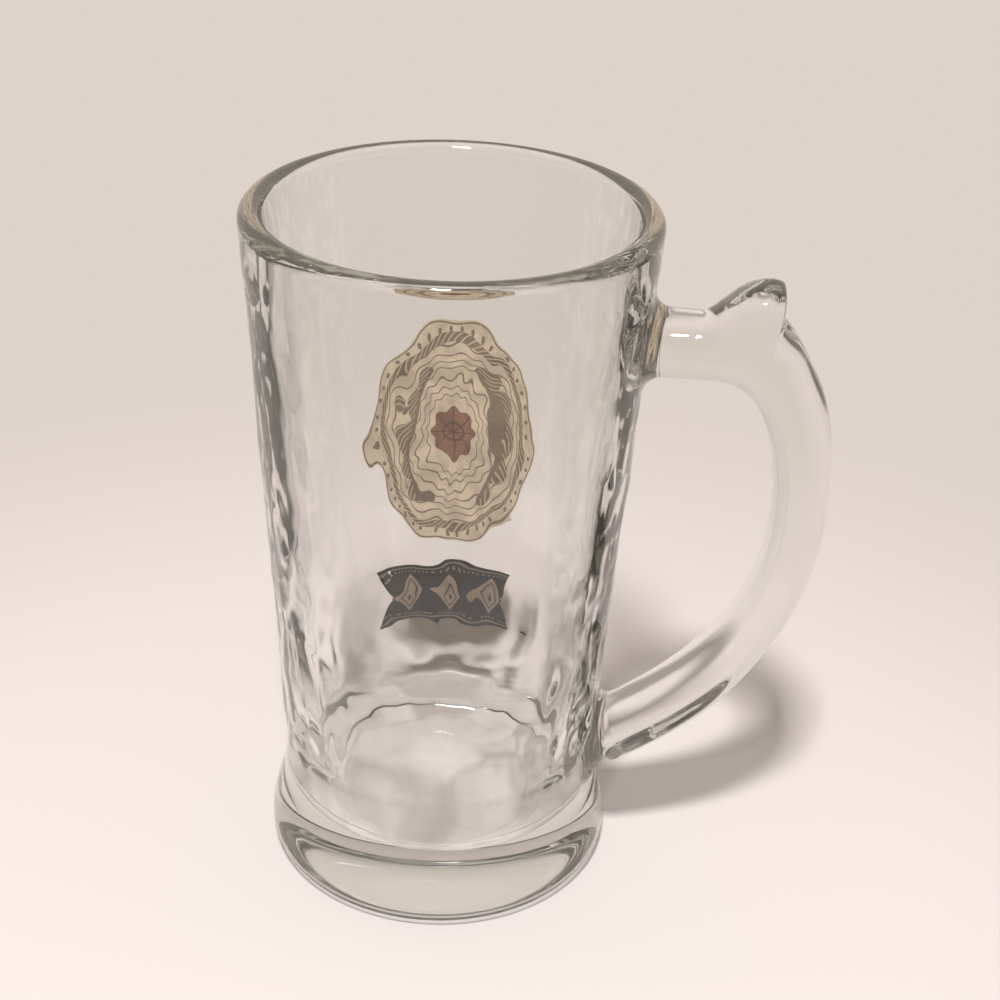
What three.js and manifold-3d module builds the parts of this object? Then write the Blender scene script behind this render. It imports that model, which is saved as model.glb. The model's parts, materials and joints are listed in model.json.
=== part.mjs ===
// Clear glass beer mug with a hammered wall, a heavy foot, a loop handle with a thumb rest
// and a fired enamel badge and banner on the side. Millimetres, +Z up, handle along +X,
// origin on the mug's axis at the underside of the foot.
import * as THREE from 'three';
import { mergeVertices } from 'three/addons/utils/BufferGeometryUtils.js';
import Module from 'manifold-3d';

const wasm = await Module();
wasm.setup();

// Bowl and foot
const mugHeight = 145;
const rimRadius = 40;
const rimWall = 4.6;
const waistRadius = 33.4;
const waistHeight = 27;
const waistWall = 5;
const floorHeight = 12.5;
const floorRadius = 21;
const floorFillet = 9;
const footRadius = 36.2;
const footHeight = 15;
const footEdge = 2.6;

// Hammered facets pressed into the outside of the wall, in staggered rows
const facetDepth = 0.7;
const facetColumns = 18;
const facetRows = 5;
const facetOverlap = 1.35;
const facetJitter = 0.22;
const plainBand = 10;
const facetFade = 6;

// Handle: straight upper arm, bend, grip and lower arm, all on one centre line
const upperArmHeight = 120.4;
const upperArmReach = 51;
const gripReach = 70.7;
const gripHeight = 86;
const lowerBendHeight = 49.5;
const lowerRootHeight = 25.5;
const handleWidth = 15;
const upperArmThickness = 13.4;
const gripThickness = 11.2;
const lowerArmThickness = 11.8;
const rootFillet = 3.5;
const rootSink = 4;

// Thumb rest, a crest on the top of the bend that falls away steeply on the outer side
const thumbStart = 47;
const thumbCrest = 57;
const thumbEnd = 62;
const thumbRise = 8.8;
const thumbFlare = 1;
const thumbSquareness = 0.65;

// Enamel films, on the +Y side
const filmThickness = 0.3;
const filmTurn = 4.5;
const badgeHeight = 80;
const badgeHalfWidth = 20.5;
const badgeHalfTall = 27;
const scallopDepth = 1.2;
const scallopCount = 10;
const ringInset = 3.4;
const ringWidth = 1.3;
const rosetteRadius = 6.2;
const petalDepth = 1.3;
const petalCount = 8;
const sprayHalfWidth = 10.4;
const sprayHalfTall = 17;
const sprayWidth = 1.3;
const sprayReach = 60;
const leafLength = 2;
const leafCount = 5;
const bannerDrop = 5.1;
const bannerHalfWidth = 17.5;
const bannerHalfTall = 7.4;
const bannerNotch = 4;
const lozengeHalfWidth = 4;
const lozengeHalfTall = 4.6;
const lozengePitch = 10;

// Clearances
const seatGap = 0.3;
const inlayGap = 0.35;

// Fineness of the facetted surfaces
const aroundSteps = 60;
const wallRings = 16;
const arcSteps = 5;
const lipSteps = 6;
const outlineSteps = 40;
const handleSteps = 36;
const sectionSides = 14;
const stationBias = 1.5;

const smooth = (t) => t * t * (3 - 2 * t);
const clamp01 = (t) => Math.min(1, Math.max(0, t));
const mix = THREE.MathUtils.lerp;

const lipRadius = rimWall / 2;
const wallTop = mugHeight - lipRadius;
const facetTop = mugHeight - plainBand;
const facetRowPitch = (facetTop - waistHeight) / facetRows;
const facetColumnPitch = (2 * Math.PI) / facetColumns;

// The banner's middle, one drop below the badge
const bannerHeight = badgeHeight - badgeHalfTall - bannerDrop - bannerHalfTall;

// A repeatable fraction from 0 to 1 for one facet, from the far digits of a sine
const scatterSteps = { column: 12.9898, row: 78.233, spread: 43758.5453 };

function scatter(column, row) {
  const wave = Math.sin(column * scatterSteps.column + row * scatterSteps.row) * scatterSteps.spread;
  return wave - Math.floor(wave);
}

// Plain radius of the outside of the wall, before the facets
function wallRadius(z) {
  return mix(waistRadius, rimRadius, (z - waistHeight) / (wallTop - waistHeight));
}

function innerRadius(z) {
  const up = (z - waistHeight) / (wallTop - waistHeight);
  return wallRadius(z) - mix(waistWall, rimWall, up);
}

// How deep one facet is pressed at a place on the wall, from 0 at its edge to 1 at its middle
function facetShape(column, row, angle, z) {
  const stagger = (row % 2) / 2;
  const shift = facetJitter * (scatter(column, row) - 0.5);
  const lift = facetJitter * (scatter(row + facetColumns, column) - 0.5);
  const middle = (column + stagger + shift) * facetColumnPitch;
  const turn = Math.atan2(Math.sin(angle - middle), Math.cos(angle - middle));
  const across = turn / (facetColumnPitch * facetOverlap / 2);
  const along = (z - waistHeight) / facetRowPitch - row - 0.5 - lift;
  const away = across * across + (along / facetOverlap * 2) ** 2;
  return away < 1 ? (1 - away) ** 2 : 0;
}

function pressDepth(angle, z) {
  let press = 0;
  for (let row = 0; row < facetRows; row += 1) {
    for (let column = 0; column < facetColumns; column += 1) {
      press += facetShape(column, row, angle, z) ** 2;
    }
  }
  const fade = smooth(clamp01((facetTop - z) / facetFade)) * smooth(clamp01((z - waistHeight) / facetFade));
  return facetDepth * Math.sqrt(Math.min(press, 1)) * fade;
}

// A body turned about the mug's axis. Points with hammered set follow the facets.
function turned(profile) {
  const outline = profile.map((point) => new THREE.Vector2(point.r, point.z));
  const geometry = new THREE.LatheGeometry(outline, aroundSteps);
  geometry.rotateX(Math.PI / 2);
  const place = geometry.attributes.position;
  for (let index = 0; index < place.count; index += 1) {
    const point = profile[index % profile.length];
    if (point.hammered) {
      const angle = Math.atan2(place.getY(index), place.getX(index));
      const radius = point.r - pressDepth(angle, point.z);
      place.setXY(index, radius * Math.cos(angle), radius * Math.sin(angle));
    }
  }
  return geometry;
}

// Corners closer than this are one corner
const mergeDistance = 1e-4;

function solid(geometry) {
  const bare = geometry.clone();
  bare.deleteAttribute('normal');
  bare.deleteAttribute('uv');
  const merged = mergeVertices(bare, mergeDistance);
  const corners = [];
  const index = merged.index.array;
  for (let face = 0; face < index.length; face += 3) {
    const [a, b, c] = index.slice(face, face + 3);
    if (a !== b && b !== c && c !== a) {
      corners.push(a, b, c);
    }
  }
  const vertProperties = new Float32Array(merged.attributes.position.array);
  return new wasm.Manifold(new wasm.Mesh({ numProp: 3, vertProperties, triVerts: new Uint32Array(corners) }));
}

function surface(body) {
  const mesh = body.getMesh();
  const geometry = new THREE.BufferGeometry();
  geometry.setAttribute('position', new THREE.BufferAttribute(mesh.vertProperties, 3));
  geometry.setIndex(new THREE.BufferAttribute(mesh.triVerts, 1));
  geometry.computeVertexNormals();
  return geometry;
}

// The outside of the bowl and foot from the rim down to the underside, moved out by a gap
function outsideProfile(gap) {
  const profile = [];
  for (let ring = 0; ring <= wallRings; ring += 1) {
    const z = mix(wallTop, waistHeight, ring / wallRings);
    profile.push({ r: wallRadius(z) + gap, z, hammered: true });
  }
  for (let step = 1; step <= arcSteps; step += 1) {
    const down = step / arcSteps;
    const r = mix(waistRadius, footRadius, smooth(down)) + gap;
    profile.push({ r, z: mix(waistHeight, footHeight, down) });
  }
  for (let step = 0; step <= arcSteps; step += 1) {
    const turn = (step / arcSteps) * (Math.PI / 2);
    const r = footRadius - footEdge + footEdge * Math.cos(turn) + gap;
    profile.push({ r, z: footEdge - footEdge * Math.sin(turn) });
  }
  return profile;
}

function mugBody() {
  const profile = [{ r: 0, z: floorHeight }];
  const filletTop = floorHeight + floorFillet;
  const corner = new THREE.QuadraticBezierCurve(
    new THREE.Vector2(floorRadius, floorHeight),
    new THREE.Vector2(innerRadius(floorHeight), floorHeight),
    new THREE.Vector2(innerRadius(filletTop), filletTop),
  );
  corner.getPoints(arcSteps).forEach((point) => profile.push({ r: point.x, z: point.y }));
  for (let step = 0; step < lipSteps; step += 1) {
    const turn = Math.PI * (1 - step / lipSteps);
    const r = rimRadius - lipRadius + lipRadius * Math.cos(turn);
    profile.push({ r, z: wallTop + lipRadius * Math.sin(turn) });
  }
  profile.push(...outsideProfile(0), { r: 0, z: 0 });
  return turned(profile.reverse());
}

// The space that the bowl and foot take up, with a gap round it
function seatSpace(gap) {
  const profile = [{ r: 0, z: mugHeight }, ...outsideProfile(gap), { r: 0, z: 0 }];
  return solid(turned(profile.reverse()));
}

function handleLine() {
  const at = (x, z) => new THREE.Vector3(x, 0, z);
  const line = new THREE.CurvePath();
  const upperRoot = at(wallRadius(upperArmHeight) - rootSink, upperArmHeight);
  const lowerRoot = at(wallRadius(lowerRootHeight) - rootSink, lowerRootHeight);
  const bendStart = at(upperArmReach, upperArmHeight);
  const gripMiddle = at(gripReach, gripHeight);
  line.add(new THREE.LineCurve3(upperRoot, bendStart));
  line.add(new THREE.QuadraticBezierCurve3(bendStart, at(gripReach, upperArmHeight), gripMiddle));
  line.add(new THREE.QuadraticBezierCurve3(gripMiddle, at(gripReach, lowerBendHeight), lowerRoot));
  return line;
}

// How far the section swells into the fillet near the wall
function filletSwell(x, z) {
  const off = clamp01((x - wallRadius(z)) / rootFillet);
  return rootFillet * (1 - Math.sqrt(1 - (1 - off) ** 2));
}

function handleThickness(z) {
  const bend = smooth(clamp01((upperArmHeight - z) / (upperArmHeight - gripHeight)));
  const lower = smooth(clamp01((gripHeight - z) / (gripHeight - lowerRootHeight)));
  return mix(mix(upperArmThickness, gripThickness, bend), lowerArmThickness, lower);
}

// Share of the thumb rest's full rise at a place on the upper arm or the bend
function thumbShare(x, z) {
  if (z < gripHeight) {
    return 0;
  }
  const rise = smooth(clamp01((x - thumbStart) / (thumbCrest - thumbStart)));
  const fall = smooth(clamp01((thumbEnd - x) / (thumbEnd - thumbCrest)));
  return rise * fall;
}

// An oval bar along the handle's centre line, raised on its outer side into the thumb rest
function handleBar() {
  const line = handleLine();
  const geometry = new THREE.CylinderGeometry(1, 1, 1, sectionSides, handleSteps);
  const place = geometry.attributes.position;
  for (let index = 0; index < place.count; index += 1) {
    const share = (0.5 - place.getY(index)) ** stationBias;
    const middle = line.getPointAt(share);
    const along = line.getTangentAt(share);
    const swell = filletSwell(middle.x, middle.z);
    const thumb = place.getX(index) > 0 ? thumbShare(middle.x, middle.z) : 0;
    const square = mix(1, thumbSquareness, thumb);
    const fuller = (value) => Math.sign(value) * Math.abs(value) ** square;
    const thick = handleThickness(middle.z) / 2 + swell + thumbRise * thumb;
    const wide = handleWidth / 2 + swell + thumbFlare * thumb;
    const out = thick * fuller(place.getX(index));
    const side = wide * fuller(-place.getZ(index));
    place.setXYZ(index, middle.x - along.z * out, side, middle.z + along.x * out);
  }
  return solid(geometry);
}

function handle() {
  return surface(handleBar().subtract(seatSpace(seatGap)));
}

// The skin that the enamel is cut from: one film thickness, one seat gap off the hammered wall
function enamelSkin() {
  const inside = outsideProfile(seatGap).slice(0, wallRings + 1);
  const outside = outsideProfile(seatGap + filmThickness).slice(0, wallRings + 1);
  const profile = [...inside, ...outside.reverse(), inside[0]];
  return solid(turned(profile));
}

// A closed outline from a function that gives a point for each turn from 0 to 2 pi
function looped(pointAt) {
  const points = [];
  for (let step = 0; step < outlineSteps; step += 1) {
    points.push(pointAt((step / outlineSteps) * 2 * Math.PI));
  }
  return new THREE.Shape(points);
}

function oval(halfWidth, halfTall) {
  return looped((turn) => new THREE.Vector2(halfWidth * Math.cos(turn), halfTall * Math.sin(turn)));
}

// The badge's outer edge, drawn in between its scallops
function scalloped(turn) {
  const dip = scallopDepth * (1 - Math.cos(scallopCount * turn)) / 2;
  return new THREE.Vector2((badgeHalfWidth - dip) * Math.cos(turn), (badgeHalfTall - dip) * Math.sin(turn));
}

function rosette(grow) {
  return looped((turn) => {
    const reach = rosetteRadius + grow - petalDepth * (1 - Math.cos(petalCount * turn)) / 2;
    return new THREE.Vector2(reach * Math.cos(turn), reach * Math.sin(turn));
  });
}

// A leafy crescent on one side of the badge: a plain inner edge and leaves on the outer edge
function spray(side, grow) {
  const reach = THREE.MathUtils.degToRad(sprayReach);
  const spread = grow / sprayHalfTall;
  const edge = (turn, out) => new THREE.Vector2(
    side * (sprayHalfWidth + out) * Math.cos(turn),
    (sprayHalfTall + out) * Math.sin(turn),
  );
  const points = [];
  for (let step = 0; step <= outlineSteps; step += 1) {
    const share = step / outlineSteps;
    const leaf = leafLength * Math.abs(Math.sin(leafCount * Math.PI * share));
    points.push(edge(mix(-reach - spread, reach + spread, share), sprayWidth + leaf + grow));
  }
  for (let step = leafCount; step >= 0; step -= 1) {
    points.push(edge(mix(-reach - spread, reach + spread, step / leafCount), -grow));
  }
  return new THREE.Shape(points);
}

function lozenge(middle, grow) {
  return new THREE.Shape([
    new THREE.Vector2(middle - lozengeHalfWidth - grow, 0),
    new THREE.Vector2(middle, -lozengeHalfTall - grow),
    new THREE.Vector2(middle + lozengeHalfWidth + grow, 0),
    new THREE.Vector2(middle, lozengeHalfTall + grow),
  ]);
}

// A ribbon with a notch in each end
function ribbon() {
  return new THREE.Shape([
    new THREE.Vector2(-bannerHalfWidth, -bannerHalfTall),
    new THREE.Vector2(bannerHalfWidth, -bannerHalfTall),
    new THREE.Vector2(bannerHalfWidth - bannerNotch, 0),
    new THREE.Vector2(bannerHalfWidth, bannerHalfTall),
    new THREE.Vector2(-bannerHalfWidth, bannerHalfTall),
    new THREE.Vector2(bannerNotch - bannerHalfWidth, 0),
  ]);
}

const skin = enamelSkin();

// A block from the mug's axis out past the wall, with the outline seen from the +Y side
function stamp(outline, height) {
  const block = new THREE.ExtrudeGeometry(outline, { depth: 2 * rimRadius, bevelEnabled: false });
  block.rotateX(Math.PI / 2);
  block.translate(0, 2 * rimRadius, height);
  block.rotateZ(THREE.MathUtils.degToRad(filmTurn));
  return solid(block);
}

// The part of the skin that an outline covers, less its holes
function film(outline, height, holes = []) {
  let piece = skin.intersect(stamp(outline, height));
  holes.forEach((hole) => {
    piece = piece.subtract(stamp(hole, height));
  });
  return surface(piece);
}

const glass = { color: 0xdfe6e2, roughness: 0.03, metalness: 0 };
const beige = { color: 0xb9ac96, roughness: 0.45, metalness: 0 };
const umber = { color: 0x827664, roughness: 0.45, metalness: 0 };
const russet = { color: 0x8c6458, roughness: 0.45, metalness: 0 };
const black = { color: 0x36332f, roughness: 0.4, metalness: 0 };
const tan = { color: 0x8c7a69, roughness: 0.45, metalness: 0 };

const mug = new THREE.Group();

function add(name, geometry, look) {
  const piece = new THREE.Mesh(geometry, new THREE.MeshStandardMaterial(look));
  piece.name = name;
  mug.add(piece);
}

function addBadge() {
  const ringWide = badgeHalfWidth - ringInset;
  const ringTall = badgeHalfTall - ringInset;
  const fieldWide = ringWide - ringWidth;
  const fieldTall = ringTall - ringWidth;
  const borderHole = oval(ringWide + inlayGap, ringTall + inlayGap);
  const ringHole = oval(fieldWide, fieldTall);
  const field = oval(fieldWide - inlayGap, fieldTall - inlayGap);
  const sides = { left: -1, right: 1 };
  const fieldHoles = Object.values(sides).map((side) => spray(side, inlayGap));
  fieldHoles.push(rosette(inlayGap));
  add('badge_border', film(looped(scalloped), badgeHeight, [borderHole]), beige);
  add('badge_ring', film(oval(ringWide, ringTall), badgeHeight, [ringHole]), umber);
  add('badge_field', film(field, badgeHeight, fieldHoles), beige);
  add('badge_rosette', film(rosette(0), badgeHeight), russet);
  for (const [name, side] of Object.entries(sides)) {
    add(`badge_spray_${name}`, film(spray(side, 0), badgeHeight), umber);
  }
}

function addBanner() {
  const places = { left: -lozengePitch, middle: 0, right: lozengePitch };
  const holes = Object.values(places).map((place) => lozenge(place, inlayGap));
  add('banner_ribbon', film(ribbon(), bannerHeight, holes), black);
  for (const [name, place] of Object.entries(places)) {
    add(`banner_lozenge_${name}`, film(lozenge(place, 0), bannerHeight), tan);
  }
}

add('mug_body', mugBody(), glass);
add('handle', handle(), glass);
addBadge();
addBanner();

export default mug;
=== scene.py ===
import json
import math

import bpy
import mathutils
import numpy as np
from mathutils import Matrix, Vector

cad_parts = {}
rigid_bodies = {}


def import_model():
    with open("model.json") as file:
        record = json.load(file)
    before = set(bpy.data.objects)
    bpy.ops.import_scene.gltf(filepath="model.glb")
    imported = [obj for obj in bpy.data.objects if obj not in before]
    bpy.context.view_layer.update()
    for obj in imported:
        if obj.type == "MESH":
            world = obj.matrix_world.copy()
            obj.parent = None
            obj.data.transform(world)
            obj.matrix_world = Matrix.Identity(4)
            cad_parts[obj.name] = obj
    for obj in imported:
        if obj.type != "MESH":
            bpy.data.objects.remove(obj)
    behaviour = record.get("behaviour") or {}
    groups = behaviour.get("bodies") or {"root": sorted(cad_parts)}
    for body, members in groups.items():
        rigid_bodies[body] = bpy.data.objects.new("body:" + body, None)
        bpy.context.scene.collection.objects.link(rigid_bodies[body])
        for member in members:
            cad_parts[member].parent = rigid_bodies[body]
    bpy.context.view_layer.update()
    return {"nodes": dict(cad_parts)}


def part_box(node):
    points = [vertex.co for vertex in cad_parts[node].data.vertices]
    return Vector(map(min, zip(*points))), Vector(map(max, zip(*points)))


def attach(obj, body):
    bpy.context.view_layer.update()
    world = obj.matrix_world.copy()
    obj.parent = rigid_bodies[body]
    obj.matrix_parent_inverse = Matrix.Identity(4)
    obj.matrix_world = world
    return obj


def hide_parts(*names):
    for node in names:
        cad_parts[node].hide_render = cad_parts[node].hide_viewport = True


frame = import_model()
print("frame loaded,", len(frame["nodes"]), "nodes")

mm = 0.001
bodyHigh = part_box("mug_body")[1]

# the bowl and foot, all in metres
mugShape = {
    "height": bodyHigh.z,
    "rimRadius": bodyHigh.x,
    "rimWall": 4.6 * mm,
    "waistRadius": 33.4 * mm,
    "waistHeight": 27 * mm,
    "waistWall": 5 * mm,
    "lowWall": 1.8 * mm,       # more glass in the wall near the bowl's floor
    "lowWallTop": 46 * mm,
    "floorHeight": 12.2 * mm,
    "floorRadius": 20.5 * mm,
    "floorFillet": 5 * mm,
    "flareTop": 24.5 * mm,     # the wall spreads into the foot from here
    "flareEnd": 4.5 * mm,      # not under the top of the rounded edge
    "footRadius": 36.6 * mm,
    "footEdge": 4.5 * mm,
    "around": 400,             # faces round the mug
    "wallRings": 150,
    "innerRings": 14,
    "curveRings": 16,          # rings in each rounded corner
    "lipRings": 16,
}

# shallow dents hammered into the outside of the wall, each meeting the next at a soft ridge
hammerShape = {
    # depths low and high on the wall
    "long": {"columns": 30, "rows": 5, "low": 0.16 * mm, "high": 0.12 * mm},
    "small": {"columns": 36, "rows": 15, "low": 0.09 * mm, "high": 0.05 * mm},
    "sides": 2.8,          # deeper towards +X and -X
    "jitter": 0.6,         # how far a dent strays from its place, in dents
    "sharp": 7.0,          # how narrow the ridges are
    "spread": 0.42,
    "uneven": 0.16,        # some dents lie deeper than others
    "turnOver": (1.3, -0.2),   # slope and start of the change from low to high
    "bottom": 22 * mm,
    "plainBand": 9 * mm,   # smooth band under the rim
    "fade": 7 * mm,
}

# the loop handle, on one centre line in the XZ plane
handleShape = {
    "upperHeight": 120.4 * mm,
    "upperReach": 51 * mm,
    "gripReach": 70.7 * mm,
    "gripHeight": 86 * mm,
    "lowerBend": 49.5 * mm,
    "lowerHeight": 25.5 * mm,
    "rootSink": 4 * mm,
    "width": 15 * mm,
    "upperThick": 13.4 * mm,
    "gripThick": 11.2 * mm,
    "lowerThick": 11.8 * mm,
    "fillet": 3.5 * mm,
    "thumbStart": 47.5 * mm,
    "thumbCrest": 57.4 * mm,
    "thumbEnd": 59.3 * mm,
    "thumbTail": 65.5 * mm,
    "thumbTailShare": 0.37,    # of the rise, left to fall away slowly
    "thumbRise": 8.47 * mm,
    "thumbHollow": 1.23,       # above 1 the rise is more hollow
    "thumbFlare": 0.3 * mm,
    "thumbSquare": 0.62,
    "thumbFlat": 1.3,          # how soon the rise squares the bar
    "flareSpread": 1.5,
    "underTop": 62 * mm,
    "underFade": 20 * mm,
    "underSquare": 0.55,
    "weldGap": 0.03 * mm,  # from the wall to the end face that is fused to it
    "weldReach": 1.3,      # faces within this many gaps of the wall are fused
    "slides": 40,
    "slideShare": 0.8,
    "probe": 0.3 * mm,     # step along the centre line to find its direction
    "sides": 96,
    "barRings": 190,
    "thumbRings": 4.0,     # rings this much closer along the thumb rest
    "filletRings": 10,
    "capRings": 8,
    "settle": 9 * mm,      # length over which the rings turn square to the bar
}


def deselectAll():
    if bpy.context.object and bpy.context.object.mode != "OBJECT":
        bpy.ops.object.mode_set(mode="OBJECT")
    bpy.ops.object.select_all(action="DESELECT")


def smooth(t):
    t = np.clip(t, 0, 1)
    return t * t * (3 - 2 * t)


def mix(a, b, t):
    return a + (b - a) * t


def readPoints(mesh):
    flat = np.empty(len(mesh.vertices) * 3)
    mesh.vertices.foreach_get("co", flat)
    return flat.reshape(-1, 3)


def writePoints(mesh, points):
    mesh.vertices.foreach_set("co", np.asarray(points, np.float32).ravel())
    mesh.update()


# plain radius of the outside of the wall at a height
def wallRadius(z):
    top = mugShape["height"] - mugShape["rimWall"] / 2
    up = (z - mugShape["waistHeight"]) / (top - mugShape["waistHeight"])
    return mix(mugShape["waistRadius"], mugShape["rimRadius"], up)


def innerRadius(z):
    s = mugShape
    up = (z - s["waistHeight"]) / (s["height"] - s["rimWall"] / 2 - s["waistHeight"])
    low = smooth((s["lowWallTop"] - z) / (s["lowWallTop"] - s["floorHeight"] - s["floorFillet"]))
    return wallRadius(z) - mix(s["waistWall"], s["rimWall"], up) - s["lowWall"] * low


# repeatable fractions from 0 to 1, one for each dent
def scatter(column, row, seed):
    wave = np.sin(column * 12.9898 + row * 78.233 + seed * 37.719) * 43758.5453
    return wave - np.floor(wave)


# one set of dents: 1 in the middle of a dent, about 0 on the ridges
def dentField(across, along, columns, seed):
    s = hammerShape
    near = 0
    for rowStep in range(-2, 3):
        row = np.floor(along) + rowStep
        shift = np.mod(row, 2) / 2
        for columnStep in range(-2, 3):
            column = np.floor(across - shift) + columnStep
            own = np.mod(column, columns)
            middle = column + shift + 0.5 + s["jitter"] * (scatter(own, row, seed) - 0.5)
            level = row + 0.5 + s["jitter"] * (scatter(own, row, seed + 1) - 0.5)
            away = (across - middle) ** 2 + (along - level) ** 2 + s["uneven"] * scatter(own, row, seed + 2)
            near = near + np.exp(-s["sharp"] * away)
    return 1 + np.log(near) / s["sharp"] / s["spread"]


# how deep the hammered wall is pressed at each angle and height
def pressDepth(angle, z):
    s = hammerShape
    top = mugShape["height"] - s["plainBand"]
    up = (z - s["bottom"]) / (top - s["bottom"])
    around = np.mod(angle, 2 * math.pi) / (2 * math.pi)
    press = 0
    for seed, dents in enumerate((s["long"], s["small"])):
        depth = mix(dents["low"], dents["high"], smooth(up * s["turnOver"][0] + s["turnOver"][1]))
        columns = dents["columns"]
        press = press + depth * dentField(around * columns, up * dents["rows"], columns, 10 * seed)
    press = press * mix(1, s["sides"], np.cos(angle) ** 4)
    return press * smooth((top - z) / s["fade"]) * smooth((z - s["bottom"]) / s["fade"])


# the finished outside: hammered wall, spreading into the foot below
def outsideRadius(angle, z):
    s = mugShape
    spread = smooth((s["flareTop"] - z) / (s["flareTop"] - s["flareEnd"]))
    return mix(wallRadius(z), s["footRadius"], spread) - pressDepth(angle, z)


# the mug's half section, from the middle of the bowl's floor round to the middle of the underside
def mugProfile():
    s = mugShape
    rings = s["curveRings"]
    lip = s["rimWall"] / 2
    wallTop = s["height"] - lip
    floor, filletTop = s["floorHeight"], s["floorHeight"] + s["floorFillet"]
    profile = [(step * s["floorRadius"] / 3, floor) for step in range(3)]
    for step in range(rings + 1):                      # rounded corner of the bowl
        t = step / rings
        r = mix(mix(s["floorRadius"], innerRadius(floor), t),
                mix(innerRadius(floor), innerRadius(filletTop), t), t)
        z = mix(floor, mix(floor, filletTop, t), t)
        profile.append((r, z))
    for step in range(1, s["innerRings"]):             # inside of the wall
        z = mix(filletTop, wallTop, step / s["innerRings"])
        profile.append((innerRadius(z), z))
    for step in range(s["lipRings"]):                  # half-round lip
        turn = math.pi * (1 - step / s["lipRings"])
        profile.append((s["rimRadius"] - lip + lip * math.cos(turn), wallTop + lip * math.sin(turn)))
    for step in range(s["wallRings"] + 1):             # outside of the wall
        z = mix(wallTop, s["flareTop"], step / s["wallRings"])
        profile.append((wallRadius(z), z))
    for step in range(1, rings + 1):                   # spread of the foot
        z = mix(s["flareTop"], s["flareEnd"], step / rings)
        profile.append((float(outsideRadius(np.zeros(1), np.array([z]))[0]), z))
    for step in range(1, rings + 1):                   # rounded bottom edge
        turn = step / rings * math.pi / 2
        r = s["footRadius"] - s["footEdge"] * (1 - math.cos(turn))
        profile.append((r, s["footEdge"] * (1 - math.sin(turn))))
    flat = s["footRadius"] - s["footEdge"]
    profile += [(flat * (1 - step / 3), 0) for step in range(1, 4)]
    return profile


def buildBody():
    profile = mugProfile()
    deselectAll()
    bpy.ops.mesh.primitive_plane_add(size=mm, location=(0, 0, profile[0][1]))
    body = bpy.context.object
    body.name = "glass_body"
    bpy.ops.object.transform_apply(location=True, rotation=True, scale=True)
    bpy.ops.object.mode_set(mode="EDIT")
    bpy.ops.mesh.select_mode(type="VERT")
    bpy.ops.mesh.merge(type="CENTER")
    for (r0, z0), (r1, z1) in zip(profile, profile[1:]):
        bpy.ops.mesh.extrude_vertices_move(TRANSFORM_OT_translate={"value": (r1 - r0, 0, z1 - z0)})
    bpy.ops.mesh.select_all(action="SELECT")
    bpy.ops.mesh.spin(steps=mugShape["around"], angle=2 * math.pi, center=(0, 0, 0), axis=(0, 0, 1))
    bpy.ops.mesh.select_all(action="SELECT")
    bpy.ops.mesh.remove_doubles(threshold=0.01 * mm)
    bpy.ops.mesh.normals_make_consistent(inside=False)
    bpy.ops.object.mode_set(mode="OBJECT")
    points = readPoints(body.data)
    radius = np.hypot(points[:, 0], points[:, 1])
    angle = np.arctan2(points[:, 1], points[:, 0])
    middle = wallRadius(points[:, 2]) - mugShape["rimWall"] / 2
    pressed = radius - np.where(radius > middle, pressDepth(angle, points[:, 2]), 0)
    points[:, 0], points[:, 1] = pressed * np.cos(angle), pressed * np.sin(angle)
    writePoints(body.data, points)
    bpy.ops.object.shade_smooth()
    print("body:", len(body.data.polygons), "faces")
    return body


# centre line of the handle: points, and the length along the line to each
def handleLine():
    s = handleShape
    upper = np.array([wallRadius(s["upperHeight"]) - s["rootSink"], s["upperHeight"]])
    bend = np.array([s["upperReach"], s["upperHeight"]])
    grip = np.array([s["gripReach"], s["gripHeight"]])
    lower = np.array([wallRadius(s["lowerHeight"]) - s["rootSink"], s["lowerHeight"]])
    t = np.linspace(0, 1, 400)[:, None]
    corner = np.array([s["gripReach"], s["upperHeight"]])
    heel = np.array([s["gripReach"], s["lowerBend"]])
    runs = [mix(upper, bend, t)]
    for a, b, c in ((bend, corner, grip), (grip, heel, lower)):
        runs.append(mix(mix(a, b, t), mix(b, c, t), t)[1:])
    points = np.concatenate(runs)
    length = np.concatenate([[0], np.cumsum(np.hypot(*np.diff(points, axis=0).T))])
    return points, length


def handleThick(z):
    s = handleShape
    bend = smooth((s["upperHeight"] - z) / (s["upperHeight"] - s["gripHeight"]))
    low = smooth((s["gripHeight"] - z) / (s["gripHeight"] - s["lowerHeight"]))
    return mix(mix(s["upperThick"], s["gripThick"], bend), s["lowerThick"], low)


def thumbShare(x, z):
    s = handleShape
    rise = smooth((x - s["thumbStart"]) / (s["thumbCrest"] - s["thumbStart"])) ** s["thumbHollow"]
    fall = smooth((s["thumbEnd"] - x) / (s["thumbEnd"] - s["thumbCrest"]))
    tail = smooth((s["thumbTail"] - x) / (s["thumbTail"] - s["thumbCrest"]))
    return np.where(z < s["gripHeight"], 0, rise * mix(fall, tail, s["thumbTailShare"]))


# moves points along a direction until they lie at a set distance off the wall
def slideToWall(points, along, off):
    for _ in range(handleShape["slides"]):
        angle = np.arctan2(points[:, 1], points[:, 0])
        miss = np.hypot(points[:, 0], points[:, 1]) - outsideRadius(angle, points[:, 2]) - off
        points = points - handleShape["slideShare"] * miss[:, None] * along / along[0]
    return points


# the place and direction of the bar where each root's fillet ends
def rootSeats():
    s = handleShape
    points, length = handleLine()
    off = points[:, 0] - outsideRadius(np.zeros(len(points)), points[:, 1])
    clear = np.nonzero(off > s["fillet"] + s["weldGap"])[0]
    seats = {}
    for name, at in (("upper", clear[0]), ("lower", clear[-1])):
        along = points[at + 1] - points[at - 1]
        along = along / np.hypot(*along)
        seats[name] = {
            "reach": length[at],
            "middle": np.array([points[at][0], 0, points[at][1]]),
            "along": np.array([along[0], 0, along[1]]),
            "thick": float(handleThick(points[at][1])),
        }
    return seats


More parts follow.
